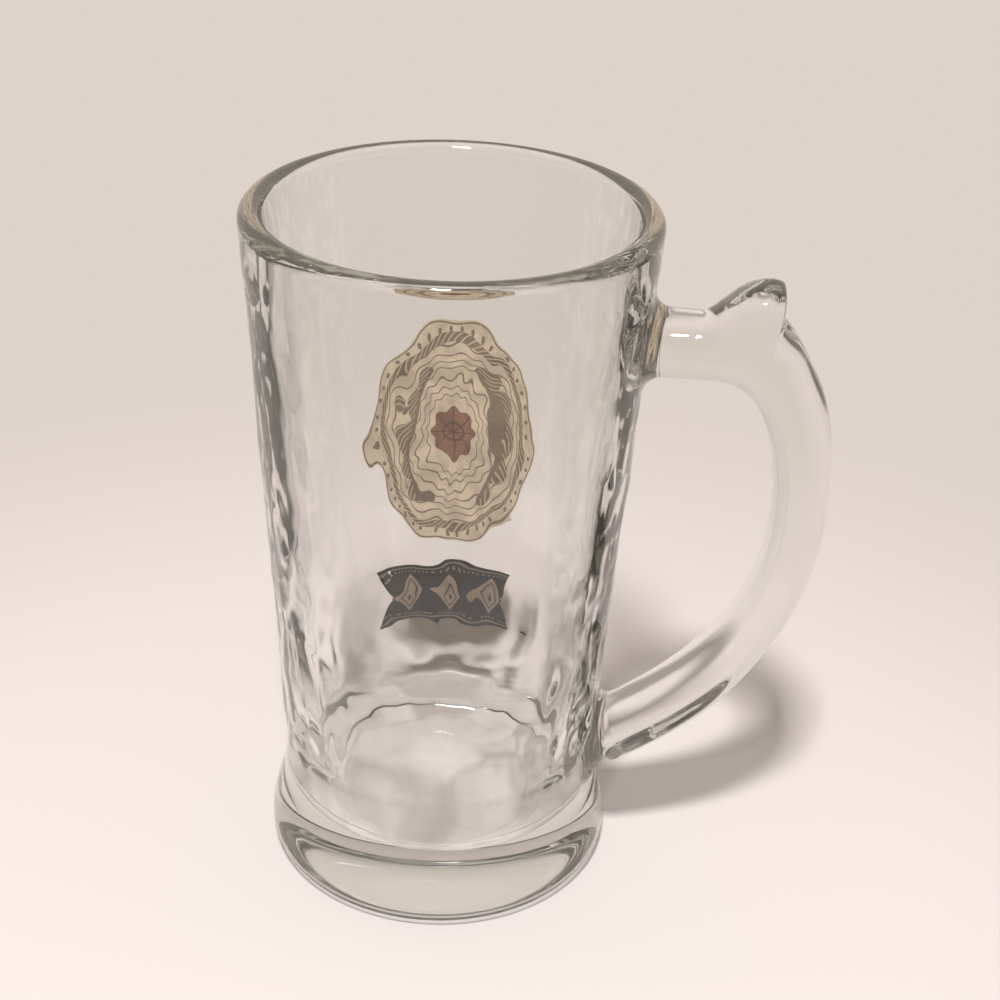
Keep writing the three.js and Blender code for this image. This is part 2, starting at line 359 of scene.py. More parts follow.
# rings of one root: the end face on the wall from its middle out, then the fillet off the wall
def rootRings(seat):
    s = handleShape
    up = np.array([-seat["along"][2], 0, seat["along"][0]])
    turn = np.linspace(0, 2 * math.pi, s["sides"], endpoint=False)
    rings = []
    for step in range(s["capRings"] + s["filletRings"] + 1):
        grow = min(step / s["capRings"], 1)
        curl = max(step - s["capRings"], 0) / s["filletRings"] * math.pi / 2
        swell = s["fillet"] * (1 - math.sin(curl))
        off = s["weldGap"] + s["fillet"] * (1 - math.cos(curl))
        out = np.outer(grow * (seat["thick"] / 2 + swell) * np.cos(turn), up)
        side = np.outer(grow * (s["width"] / 2 + swell) * np.sin(turn), (0, 1, 0))
        rings.append(slideToWall(seat["middle"] + out + side, seat["along"], off))
    return rings


# one ring of the bar, square to the centre line, raised on its outer half into the thumb rest
def barRing(x, z, along):
    s = handleShape
    up = np.array([-along[2], 0, along[0]])
    turn = np.linspace(0, 2 * math.pi, s["sides"], endpoint=False)
    thumb = np.where(np.cos(turn) > 0, thumbShare(x, z), 0)
    flat = smooth(thumb * s["thumbFlat"])
    square = mix(1, s["thumbSquare"], flat)
    under = smooth((s["underTop"] - z) / s["underFade"])       # the lower bar has a flatter underside
    square = np.where(np.cos(turn) > 0, mix(square, s["underSquare"], under), square)
    out = np.sign(np.cos(turn)) * np.abs(np.cos(turn)) ** square
    side = np.sign(np.sin(turn)) * np.abs(np.sin(turn)) ** square
    thick = handleThick(z) / 2 + s["thumbRise"] * thumb
    wide = s["width"] / 2 + s["thumbFlare"] * flat * smooth(np.cos(turn) * s["flareSpread"])
    return np.array([x, 0, z]) + np.outer(thick * out, up) + np.outer(wide * side, (0, 1, 0))


def handleRings():
    s = handleShape
    points, length = handleLine()
    seats = rootSeats()
    roots = {name: rootRings(seat) for name, seat in seats.items()}
    first, last = seats["upper"]["reach"], seats["lower"]["reach"]
    bar = []
    thumb = (points[:, 0] > s["thumbStart"]) & (points[:, 0] < s["thumbTail"])
    thumb &= points[:, 1] > s["gripHeight"]
    onBar = (length >= first) & (length <= last)
    pace = np.cumsum(np.gradient(length) * np.where(thumb, s["thumbRings"], 1.0) * onBar)
    for share in np.linspace(0, 1, s["barRings"] + 2)[1:-1]:
        reach = float(np.interp(share * pace[-1], pace[onBar], length[onBar]))
        spots = reach + np.array([-1, 0, 1]) * s["probe"]
        xs, zs = np.interp(spots, length, points[:, 0]), np.interp(spots, length, points[:, 1])
        along = np.array([xs[2] - xs[0], 0, zs[2] - zs[0]])
        along = along / np.linalg.norm(along)
        ring = barRing(xs[1], zs[1], along)
        for name, gone in (("upper", reach - first), ("lower", last - reach)):
            lean = 1 - smooth(gone / s["settle"])      # rings near a root keep the wall's curve
            slide = (roots[name][-1] - seats[name]["middle"]) @ seats[name]["along"]
            ring = ring + lean * np.outer(slide, along)
        bar.append(ring)
    return roots["upper"] + bar + roots["lower"][::-1]


def buildHandle():
    s = handleShape
    rings = handleRings()
    deselectAll()
    bpy.ops.mesh.primitive_circle_add(vertices=s["sides"], radius=1, location=(0, 0, 0))
    handle = bpy.context.object
    handle.name = "glass_handle"
    bpy.ops.object.mode_set(mode="EDIT")
    for _ in rings[1:]:
        bpy.ops.mesh.extrude_edges_move(TRANSFORM_OT_translate={"value": (0, 0, 1)})
    bpy.ops.object.mode_set(mode="OBJECT")
    tube = readPoints(handle.data)                     # a straight tube, one unit per ring
    station = np.rint(tube[:, 2]).astype(int)
    spot = np.rint(np.arctan2(tube[:, 1], tube[:, 0]) / (2 * math.pi) * s["sides"]).astype(int) % s["sides"]
    writePoints(handle.data, np.array(rings)[station, spot])
    bpy.ops.object.mode_set(mode="EDIT")
    bpy.ops.mesh.select_all(action="SELECT")
    bpy.ops.mesh.remove_doubles(threshold=0.001 * mm)
    bpy.ops.mesh.normals_make_consistent(inside=False)
    bpy.ops.object.mode_set(mode="OBJECT")
    bpy.ops.object.shade_smooth_by_angle(angle=math.radians(70))
    points = readPoints(handle.data)
    angle = np.arctan2(points[:, 1], points[:, 0])
    off = np.hypot(points[:, 0], points[:, 1]) - outsideRadius(angle, points[:, 2])
    weld = handle.data.attributes.new("weld", "FLOAT", "FACE")   # 1 on the two fused end faces
    fused = s["weldReach"] * s["weldGap"]
    for face in handle.data.polygons:
        weld.data[face.index].value = float(max(off[v] for v in face.vertices) < fused)
    print("handle:", len(handle.data.polygons), "faces,", sum(w.value for w in weld.data), "fused")
    return handle


# node helpers
def newMaterial(name):
    material = bpy.data.materials.new(name)
    material.use_nodes = True
    material.node_tree.nodes.clear()
    return material, material.node_tree


def node(tree, kind, **settings):
    made = tree.nodes.new(kind)
    for key, value in settings.items():
        setattr(made, key, value)
    return made


def plug(tree, value, socket):
    if isinstance(value, bpy.types.NodeSocket):
        tree.links.new(value, socket)
    else:
        socket.default_value = value


def calc(tree, operation, a, b=0.0, c=0.0):
    made = node(tree, "ShaderNodeMath", operation=operation)
    for value, socket in zip((a, b, c), made.inputs):
        plug(tree, value, socket)
    return made.outputs[0]


def ramp(tree, value, low, high, fromValue=0.0, toValue=1.0):
    made = node(tree, "ShaderNodeMapRange", interpolation_type="SMOOTHSTEP")
    for key, item in (("Value", value), ("From Min", low), ("From Max", high),
                      ("To Min", fromValue), ("To Max", toValue)):
        plug(tree, item, made.inputs[key])
    return made.outputs["Result"]


def blendColour(tree, share, first, second, blend="MIX"):
    made = node(tree, "ShaderNodeMix", data_type="RGBA", blend_type=blend)
    for value, place in ((share, 0), (first, 6), (second, 7)):
        plug(tree, value, made.inputs[place])
    return made.outputs[2]


def mixShader(tree, share, first, second):
    made = node(tree, "ShaderNodeMixShader")
    plug(tree, share, made.inputs[0])
    tree.links.new(first, made.inputs[1])
    tree.links.new(second, made.inputs[2])
    return made.outputs[0]


glassLook = {
    "wallTint": (0.988, 0.988, 0.982, 1),
    "handleTint": (0.958, 0.955, 0.942, 1),
    "ior": 1.517,
    "roughLow": 0.0,
    "roughHigh": 0.012,
    "smudgeScale": 38,
    "smudge": (0.45, 0.75),
    "depthColour": (0.81, 0.805, 0.765, 1),    # colour that deep glass turns
    "depthDensity": 7,
    "trappedShade": (0.16, 0.14, 0.108, 1),   # painted shade, with lighter patches of painted light, that the glass emits for rays that stay in it too long
    "trappedLight": (0.42, 0.375, 0.315, 1),
    "trappedScale": 26,
    "trappedPatch": (0.5, 0.62),
    "trappedAfter": 12,                        # bounces
    "wallShadow": (0.93, 0.3),                 # light let through in shadows, face on and at the edges
    "handleShadow": (0.62, 0.08),
    "shadowEdge": (0.5, 1.0),
}


# clear soda glass: a faint grey-green in the depth, faint smudges, softened shadows, and painted shade and
# light where rays bounce in it too long
def glassMaterial(name, weldMask, shadowLight, tint):
    material, tree = newMaterial(name)
    look = glassLook
    place = node(tree, "ShaderNodeTexCoord").outputs["Object"]
    smudge = node(tree, "ShaderNodeTexNoise", noise_dimensions="3D")
    tree.links.new(place, smudge.inputs["Vector"])
    smudge.inputs["Scale"].default_value = look["smudgeScale"]
    smudge.inputs["Detail"].default_value = 5
    glass = node(tree, "ShaderNodeBsdfPrincipled")
    glass.inputs["Base Color"].default_value = tint
    glass.inputs["IOR"].default_value = look["ior"]
    glass.inputs["Transmission Weight"].default_value = 1
    rough = ramp(tree, smudge.outputs["Fac"], *look["smudge"], look["roughLow"], look["roughHigh"])
    tree.links.new(rough, glass.inputs["Roughness"])
    facing = node(tree, "ShaderNodeLayerWeight").outputs["Facing"]
    dim = ramp(tree, facing, *look["shadowEdge"], *shadowLight)
    dimmed = node(tree, "ShaderNodeBsdfTransparent")
    tree.links.new(dim, dimmed.inputs["Color"])
    path = node(tree, "ShaderNodeLightPath")
    glow = node(tree, "ShaderNodeEmission")            # painted shade and light: past many bounces the glass emits a dull olive with lighter patches
    streak = node(tree, "ShaderNodeTexNoise", noise_dimensions="3D")
    tree.links.new(place, streak.inputs["Vector"])
    streak.inputs["Scale"].default_value = look["trappedScale"]
    patch = ramp(tree, streak.outputs["Fac"], *look["trappedPatch"])
    caught = blendColour(tree, patch, look["trappedShade"], look["trappedLight"])
    tree.links.new(caught, glow.inputs["Color"])
    trapped = calc(tree, "GREATER_THAN", path.outputs["Ray Depth"], look["trappedAfter"])
    surface = mixShader(tree, trapped, glass.outputs[0], glow.outputs[0])
    surface = mixShader(tree, path.outputs["Is Shadow Ray"], surface, dimmed.outputs[0])
    clearWay = node(tree, "ShaderNodeBsdfTransparent")
    surface = mixShader(tree, weldMask(tree, place), surface, clearWay.outputs[0])
    depth = node(tree, "ShaderNodeVolumeAbsorption")
    depth.inputs["Color"].default_value = look["depthColour"]
    depth.inputs["Density"].default_value = look["depthDensity"]
    out = node(tree, "ShaderNodeOutputMaterial")
    tree.links.new(surface, out.inputs["Surface"])
    tree.links.new(depth.outputs[0], out.inputs["Volume"])
    return material


# 1 on the wall inside each root's oval, where the handle is fused to it
def bodyWeld(tree, place):
    s = handleShape
    total = 0.0
    for seat in rootSeats().values():
        up = (-seat["along"][2], 0, seat["along"][0])
        shifted = node(tree, "ShaderNodeVectorMath", operation="SUBTRACT")
        tree.links.new(place, shifted.inputs[0])
        shifted.inputs[1].default_value = seat["middle"]
        height = node(tree, "ShaderNodeVectorMath", operation="DOT_PRODUCT")
        tree.links.new(shifted.outputs[0], height.inputs[0])
        height.inputs[1].default_value = up
        apart = node(tree, "ShaderNodeSeparateXYZ")
        tree.links.new(place, apart.inputs[0])
        tall = calc(tree, "DIVIDE", height.outputs["Value"], seat["thick"] / 2 + s["fillet"])
        wide = calc(tree, "DIVIDE", apart.outputs["Y"], s["width"] / 2 + s["fillet"])
        span = calc(tree, "ADD", calc(tree, "POWER", tall, 2.0), calc(tree, "POWER", wide, 2.0))
        inside = calc(tree, "LESS_THAN", span, 1.0)
        skin = seat["middle"][0] - s["fillet"] - mugShape["rimWall"] * 0.7   # past the inner wall
        outer = calc(tree, "GREATER_THAN", apart.outputs["X"], float(skin))
        total = calc(tree, "MAXIMUM", total, calc(tree, "MULTIPLY", inside, outer))
    return total


def handleWeld(tree, place):
    return node(tree, "ShaderNodeAttribute", attribute_name="weld").outputs["Fac"]


# enamel print on the side away from the camera: a scalloped badge over a notched ribbon
printShape = {
    "turn": math.radians(4.5),   # round the mug from the +Y side
    "bite": 0.06 * mm,           # fused into the glass
    "thick": 0.16 * mm,
    "seam": 0.05 * mm,           # between two colours
    "gridStep": 1.2 * mm,        # faces small enough to follow the dents
    "points": 160,               # on a round outline
    "sidePoints": 16,            # on each straight side
    "badgeHeight": 80 * mm,
    "badgeWide": 20.5 * mm,
    "badgeTall": 27 * mm,
    "scallopDepth": 1.2 * mm,
    "scallops": 10,
    "ringInset": 3.4 * mm,
    "ringWidth": 1.3 * mm,
    "rosetteRadius": 6.2 * mm,
    "petalDepth": 1.3 * mm,
    "petals": 8,
    "sprayWide": 10.4 * mm,
    "sprayTall": 17 * mm,
    "sprayStem": 1.3 * mm,
    "sprayReach": math.radians(60),
    "leafLength": 2 * mm,
    "leaves": 5,
    "ribbonHeight": 40.5 * mm,
    "ribbonWide": 17.5 * mm,
    "ribbonTall": 7.4 * mm,
    "ribbonNotch": 4 * mm,
    "lozengeWide": 4 * mm,
    "lozengeTall": 4.6 * mm,
    "lozengePitch": 10 * mm,
}


def roundTurns():
    return np.linspace(0, 2 * math.pi, printShape["points"], endpoint=False)


def ovalOutline(wide, tall):
    turn = roundTurns()
    return np.column_stack([wide * np.cos(turn), tall * np.sin(turn)])


def scallopOutline():
    s, turn = printShape, roundTurns()
    dip = s["scallopDepth"] * (1 - np.cos(s["scallops"] * turn)) / 2
    return np.column_stack([(s["badgeWide"] - dip) * np.cos(turn), (s["badgeTall"] - dip) * np.sin(turn)])


def rosetteOutline(grow):
    s, turn = printShape, roundTurns()
    reach = s["rosetteRadius"] + grow - s["petalDepth"] * (1 - np.cos(s["petals"] * turn)) / 2
    return np.column_stack([reach * np.cos(turn), reach * np.sin(turn)])


# a leafy crescent: leaves on its outer edge, a plain inner edge
def sprayOutline(side, grow):
    s = printShape
    share = np.linspace(0, 1, s["points"] // 2)
    turn = mix(-1, 1, share) * (s["sprayReach"] + grow / s["sprayTall"])
    out = s["sprayStem"] + s["leafLength"] * np.abs(np.sin(s["leaves"] * math.pi * share)) + grow
    outer = np.column_stack([(s["sprayWide"] + out) * np.cos(turn), (s["sprayTall"] + out) * np.sin(turn)])
    back = turn[::-4]
    wide, tall = s["sprayWide"] - grow, s["sprayTall"] - grow
    inner = np.column_stack([wide * np.cos(back), tall * np.sin(back)])
    return np.concatenate([outer, inner]) * (side, 1)


# points along straight edges; the fill fails on a few far corners
def alongEdges(corners):
    sides = zip(corners, corners[1:] + corners[:1])
    return np.concatenate([np.linspace(a, b, printShape["sidePoints"], endpoint=False) for a, b in sides])


def lozengeOutline(middle, grow):
    wide, tall = printShape["lozengeWide"] + grow, printShape["lozengeTall"] + grow
    return alongEdges([(middle - wide, 0), (middle, -tall), (middle + wide, 0), (middle, tall)])


def ribbonOutline():
    wide, tall, notch = printShape["ribbonWide"], printShape["ribbonTall"], printShape["ribbonNotch"]
    right = [(wide, -tall), (wide - notch, 0), (wide, tall)]
    return alongEdges([(-wide, -tall)] + right + [(-wide, tall), (notch - wide, 0)])


# flat outlines filled, cut into a fine grid, laid on the wall and given the enamel's thickness
def buildFilm(name, nodeName, height, outlines):
    s = printShape
    deselectAll()
    for level, outline in enumerate(outlines):
        bpy.ops.mesh.primitive_circle_add(vertices=len(outline), radius=1, location=(0, 0, level))
        if level == 0:
            film = bpy.context.object
            film.name = name
            bpy.ops.object.mode_set(mode="EDIT")
    bpy.ops.object.mode_set(mode="OBJECT")
    flat = readPoints(film.data)
    for level, outline in enumerate(outlines):
        own = np.nonzero(np.rint(flat[:, 2]) == level)[0]
        spot = np.argsort(np.argsort(np.arctan2(flat[own, 1], flat[own, 0])))
        flat[own] = np.column_stack([outline[spot, 0], np.zeros(len(own)), outline[spot, 1]])
    writePoints(film.data, flat)
    bpy.ops.object.mode_set(mode="EDIT")
    bpy.ops.mesh.select_all(action="SELECT")
    bpy.ops.mesh.fill(use_beauty=True)
    low, high = flat.min(axis=0), flat.max(axis=0)
    for axis, normal in ((0, (1, 0, 0)), (2, (0, 0, 1))):
        for cut in np.arange(low[axis] + s["gridStep"] / 2, high[axis], s["gridStep"]):
            place = [0, 0, 0]
            place[axis] = float(cut)
            bpy.ops.mesh.select_all(action="SELECT")
            bpy.ops.mesh.bisect(plane_co=place, plane_no=normal)
    bpy.ops.mesh.select_all(action="SELECT")
    bpy.ops.mesh.remove_doubles(threshold=0.005 * mm)
    bpy.ops.object.mode_set(mode="OBJECT")
    flat = readPoints(film.data)
    drawing = film.data.uv_layers.new(name="drawing")     # the flat drawing, in millimetres
    for loop in film.data.loops:
        drawing.data[loop.index].uv = (flat[loop.vertex_index, 0] / mm, flat[loop.vertex_index, 2] / mm)
    z = height + flat[:, 2]
    angle = math.pi / 2 + s["turn"] - np.arcsin(flat[:, 0] / wallRadius(z))
    radius = outsideRadius(angle, z) - s["bite"]
    writePoints(film.data, np.column_stack([radius * np.cos(angle), radius * np.sin(angle), z]))
    bpy.ops.object.mode_set(mode="EDIT")
    bpy.ops.mesh.select_all(action="SELECT")
    bpy.ops.mesh.normals_make_consistent(inside=False)
    bpy.ops.object.mode_set(mode="OBJECT")
    if film.data.polygons[0].normal.dot(film.data.polygons[0].center) < 0:
        film.data.flip_normals()
    coat = film.modifiers.new("coat", "SOLIDIFY")
    coat.thickness = s["thick"]
    coat.offset = 1
    bpy.ops.object.modifier_apply(modifier="coat")
    bpy.ops.object.shade_smooth_by_angle(angle=math.radians(40))
    inner = film.data.attributes.new("innerFace", "FLOAT", "FACE")     # 1 on the side fused to the glass
    for face in film.data.polygons:
        inner.data[face.index].value = float(face.normal.dot(face.center) < 0)
    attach(film, "root")
    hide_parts(nodeName)
    return film


# colour of each enamel, and of the fine lines drawn in it
enamelLook = {
    "beige": {"colour": (0.80, 0.63, 0.455, 1), "line": (0.30, 0.22, 0.15, 1), "slot": "beige_enamel"},
    "umber": {"colour": (0.30, 0.22, 0.15, 1), "line": (0.66, 0.51, 0.36, 1), "slot": "umber_enamel"},
    "russet": {"colour": (0.33, 0.17, 0.115, 1), "line": (0.17, 0.10, 0.075, 1), "slot": "russet_enamel"},
    "black": {"colour": (0.036, 0.032, 0.028, 1), "line": (0.26, 0.20, 0.145, 1), "slot": "black_enamel"},
    "tan": {"colour": (0.34, 0.25, 0.175, 1), "line": (0.05, 0.045, 0.04, 1), "slot": "tan_enamel"},
    "gloss": (0.5, 0.05),     # on the outer face, on the face fused to the glass
    "paintedInnerLight": 0.15,        # painted light: the face fused to the glass glows a little in its own colours
    "deepAfter": 4.5,         # bounces; rays that reach the face fused to the glass after more than these see painted shade
    "deepShade": (0.24, 0.215, 0.18, 1),
    "blotchScale": 260,
    "blotchRange": (0.3, 0.7),
    "blotch": (0.8, 1.12),
    "rough": (0.28, 0.42),
}


# the lines drawn in the enamel, in millimetres of the flat drawing or shares of a repeat
lineShape = {
    "edgeInset": 0.42,
    "edgeHalf": 0.17,
    "beads": 44,
    "beadInset": 2.45,
    "beadSize": 0.3,
    "cordStrokes": 64,
    "cordLean": 2.2,
    "cordHalf": 0.14,
    "waves": 16.0,
    "waveDepth": 0.45,
    "wavePitch": 2.1,
    "waveHalf": 0.085,
    "waveStart": 8.2,
    "rayHalf": 0.5,
    "heartRadius": 2.0,
    "heartHalf": 0.28,
    "veinPitch": 1.7,
    "veinHalf": 0.13,
    "hemInset": 0.9,
    "hemHalf": 0.2,
    "dotInset": 1.9,
    "dotPitch": 1.25,
    "dotSize": 0.085,
    "innerLozenge": 0.66,
    "innerHalf": 0.06,
    "lozengeDot": 0.2,
}


# x, y, length and turn of the drawing, with x and y stretched so that an oval becomes round
def drawingPlace(tree, wide=1.0, tall=1.0):
    apart = node(tree, "ShaderNodeSeparateXYZ")
    tree.links.new(node(tree, "ShaderNodeUVMap", uv_map="drawing").outputs["UV"], apart.inputs[0])
    x = calc(tree, "DIVIDE", apart.outputs["X"], wide)
    y = calc(tree, "DIVIDE", apart.outputs["Y"], tall)
    away = calc(tree, "SQRT", calc(tree, "ADD", calc(tree, "MULTIPLY", x, x), calc(tree, "MULTIPLY", y, y)))
    return x, y, away, calc(tree, "ARCTAN2", y, x)


# 1 within half a width of a line
def lineMask(tree, value, middle, half):
    return calc(tree, "COMPARE", value, middle, half)


# how far from the nearest of a row of repeats, in repeats
def repeatOff(tree, value, pitch):
    return calc(tree, "SUBTRACT", calc(tree, "FRACT", calc(tree, "DIVIDE", value, pitch)), 0.5)


# a bead row and an edge line that follows the scallops
def borderLines(tree):
    s, line = printShape, lineShape
    wide, tall = s["badgeWide"] / mm, s["badgeTall"] / mm
    mean = (wide + tall) / 2
    _, _, away, turn = drawingPlace(tree, wide, tall)
    wave = calc(tree, "COSINE", calc(tree, "MULTIPLY", turn, float(s["scallops"])))
    dip = calc(tree, "MULTIPLY", calc(tree, "SUBTRACT", 1.0, wave), s["scallopDepth"] / mm / 2)
    inset = calc(tree, "SUBTRACT", calc(tree, "MULTIPLY", calc(tree, "SUBTRACT", 1.0, away), mean), dip)
    edge = lineMask(tree, inset, line["edgeInset"], line["edgeHalf"])
    pitch = 2 * math.pi / line["beads"]
    along = calc(tree, "MULTIPLY", repeatOff(tree, turn, pitch), pitch * mean)
    depth = calc(tree, "MULTIPLY", calc(tree, "SUBTRACT", 1.0, away), mean)
    across = calc(tree, "SUBTRACT", depth, line["beadInset"])
    spread = calc(tree, "ADD", calc(tree, "MULTIPLY", along, along), calc(tree, "MULTIPLY", across, across))
    return calc(tree, "MAXIMUM", edge, calc(tree, "LESS_THAN", spread, line["beadSize"]))


# slanted strokes, as on a twisted cord
def ringLines(tree):
    s, line = printShape, lineShape
    wide, tall = (s["badgeWide"] - s["ringInset"]) / mm, (s["badgeTall"] - s["ringInset"]) / mm
    _, _, away, turn = drawingPlace(tree, wide, tall)
    lean = calc(tree, "ADD", turn, calc(tree, "MULTIPLY", away, line["cordLean"]))
    stroke = calc(tree, "ABSOLUTE", repeatOff(tree, lean, 2 * math.pi / line["cordStrokes"]))
    return calc(tree, "LESS_THAN", stroke, line["cordHalf"])


# fine wavy rings round the rosette
def fieldLines(tree):
    s, line = printShape, lineShape
    wide, tall = s["badgeWide"] / s["badgeTall"], 1.0
    _, _, away, turn = drawingPlace(tree, wide, tall)
    wave = calc(tree, "SINE", calc(tree, "MULTIPLY", turn, line["waves"]))
    ripple = calc(tree, "MULTIPLY", wave, line["waveDepth"])
    band = calc(tree, "ABSOLUTE", repeatOff(tree, calc(tree, "ADD", away, ripple), line["wavePitch"]))
    drawn = calc(tree, "LESS_THAN", band, line["waveHalf"])
    return calc(tree, "MULTIPLY", drawn, calc(tree, "GREATER_THAN", away, line["waveStart"]))


# petal lines and a dark heart
def rosetteLines(tree):
    s, line = printShape, lineShape
    _, _, away, turn = drawingPlace(tree)
    ray = calc(tree, "ABSOLUTE", calc(tree, "SINE", calc(tree, "MULTIPLY", turn, s["petals"] / 2)))
    ray = calc(tree, "LESS_THAN", calc(tree, "MULTIPLY", ray, away), line["rayHalf"])
    heart = lineMask(tree, away, line["heartRadius"], line["heartHalf"])
    return calc(tree, "MAXIMUM", ray, heart)


# a vein along each leaf
def sprayLines(tree):
    s, line = printShape, lineShape
    _, y, away, _ = drawingPlace(tree, s["sprayWide"] / s["sprayTall"], 1.0)
    vein = calc(tree, "ABSOLUTE", repeatOff(tree, calc(tree, "ADD", y, away), line["veinPitch"]))
    out = calc(tree, "GREATER_THAN", away, (s["sprayTall"] + s["sprayStem"]) / mm)
    return calc(tree, "MULTIPLY", calc(tree, "LESS_THAN", vein, line["veinHalf"]), out)


# an inset line along both long edges, and dots between
def ribbonLines(tree):
    s, line = printShape, lineShape
    x, y, _, _ = drawingPlace(tree)
    level = calc(tree, "ABSOLUTE", y)
    hem = lineMask(tree, level, s["ribbonTall"] / mm - line["hemInset"], line["hemHalf"])
    across = calc(tree, "MULTIPLY", repeatOff(tree, x, line["dotPitch"]), line["dotPitch"])
    rise = calc(tree, "SUBTRACT", level, s["ribbonTall"] / mm - line["dotInset"])
    spread = calc(tree, "ADD", calc(tree, "MULTIPLY", across, across), calc(tree, "MULTIPLY", rise, rise))
    return calc(tree, "MAXIMUM", hem, calc(tree, "LESS_THAN", spread, line["dotSize"]))


# a smaller lozenge drawn inside
def lozengeLines(tree):
    s, line = printShape, lineShape
    wide, pitch = s["lozengeWide"] / mm, s["lozengePitch"] / mm
    x, y, _, _ = drawingPlace(tree, wide, s["lozengeTall"] / mm)
    shifted = calc(tree, "ADD", calc(tree, "MULTIPLY", x, wide), pitch / 2)
    off = calc(tree, "MULTIPLY", repeatOff(tree, shifted, pitch), s["lozengePitch"] / s["lozengeWide"])
    inset = calc(tree, "ADD", calc(tree, "ABSOLUTE", off), calc(tree, "ABSOLUTE", y))
    edge = lineMask(tree, inset, line["innerLozenge"], line["innerHalf"])
    return calc(tree, "MAXIMUM", edge, calc(tree, "LESS_THAN", inset, line["lozengeDot"]))


# fired enamel: blotchy colour, fine drawn lines, a slightly uneven gloss; painted light and shade on the
# face fused to the glass
def enamelMaterial(name, shade, drawLines):
    material, tree = newMaterial(name)
    look = enamelLook[shade]
    blotch = node(tree, "ShaderNodeTexNoise")
    tree.links.new(node(tree, "ShaderNodeTexCoord").outputs["Object"], blotch.inputs["Vector"])
    blotch.inputs["Scale"].default_value = enamelLook["blotchScale"]
    blotch.inputs["Detail"].default_value = 6
    spread = ramp(tree, blotch.outputs["Fac"], *enamelLook["blotchRange"], *enamelLook["blotch"])
    tone = blendColour(tree, 1.0, look["colour"], spread, "MULTIPLY")
    ink = blendColour(tree, drawLines(tree), tone, look["line"])
    enamel = node(tree, "ShaderNodeBsdfPrincipled")
    inner = node(tree, "ShaderNodeAttribute", attribute_name="innerFace").outputs["Fac"]
    bounces = node(tree, "ShaderNodeLightPath").outputs["Ray Depth"]
    # painted shade: the face fused to the glass turns a dull dark tone for rays that reach it after many
    # bounces
    deep = calc(tree, "MULTIPLY", inner, calc(tree, "GREATER_THAN", bounces, enamelLook["deepAfter"]))
    tree.links.new(blendColour(tree, deep, ink, enamelLook["deepShade"]), enamel.inputs["Base Color"])
    rough = ramp(tree, blotch.outputs["Fac"], *enamelLook["blotchRange"], *enamelLook["rough"])
    tree.links.new(rough, enamel.inputs["Roughness"])
    tree.links.new(ramp(tree, inner, 0, 1, *enamelLook["gloss"]), enamel.inputs["Specular IOR Level"])
    # painted light: the face fused to the glass glows faintly in the enamel's colours
    tree.links.new(ink, enamel.inputs["Emission Color"])
    glow = calc(tree, "MULTIPLY", calc(tree, "SUBTRACT", inner, deep), enamelLook["paintedInnerLight"])
    tree.links.new(glow, enamel.inputs["Emission Strength"])
    out = node(tree, "ShaderNodeOutputMaterial")
    tree.links.new(enamel.outputs[0], out.inputs["Surface"])
    return material


def finishFilm(film, material):
    film.data.materials.append(material)


def buildBadge():
    s = printShape
    ringWide, ringTall = s["badgeWide"] - s["ringInset"], s["badgeTall"] - s["ringInset"]
    fieldWide, fieldTall = ringWide - s["ringWidth"], ringTall - s["ringWidth"]
    seam = s["seam"]
    sides = {"left": -1, "right": 1}
    height = s["badgeHeight"]
    border = [scallopOutline(), ovalOutline(ringWide + seam, ringTall + seam)]
    ring = [ovalOutline(ringWide, ringTall), ovalOutline(fieldWide, fieldTall)]
    field = [ovalOutline(fieldWide - seam, fieldTall - seam), rosetteOutline(seam)]
    field += [sprayOutline(side, seam) for side in sides.values()]
    finishFilm(buildFilm("enamel_border", "badge_border", height, border),
               enamelMaterial("beigeBorder", "beige", borderLines))
    finishFilm(buildFilm("enamel_ring", "badge_ring", height, ring),
               enamelMaterial("umberRing", "umber", ringLines))
    finishFilm(buildFilm("enamel_field", "badge_field", height, field),
               enamelMaterial("beigeField", "beige", fieldLines))
    finishFilm(buildFilm("enamel_rosette", "badge_rosette", height, [rosetteOutline(0)]),
               enamelMaterial("russetRosette", "russet", rosetteLines))
    leaf = enamelMaterial("umberLeaves", "umber", sprayLines)
    for name, side in sides.items():
        spray = buildFilm("enamel_spray_" + name, "badge_spray_" + name, height, [sprayOutline(side, 0)])
        finishFilm(spray, leaf)
    print("badge done")


def buildRibbon():
    s = printShape
    places = {"left": -s["lozengePitch"], "middle": 0, "right": s["lozengePitch"]}
    ribbon = [ribbonOutline()] + [lozengeOutline(place, s["seam"]) for place in places.values()]
    finishFilm(buildFilm("enamel_ribbon", "banner_ribbon", s["ribbonHeight"], ribbon),
               enamelMaterial("blackRibbon", "black", ribbonLines))
    tan = enamelMaterial("tanLozenge", "tan", lozengeLines)
    for name, place in places.items():
        lozenge = buildFilm("enamel_lozenge_" + name, "banner_lozenge_" + name, s["ribbonHeight"],
                            [lozengeOutline(place, 0)])
        finishFilm(lozenge, tan)
    print("ribbon done")


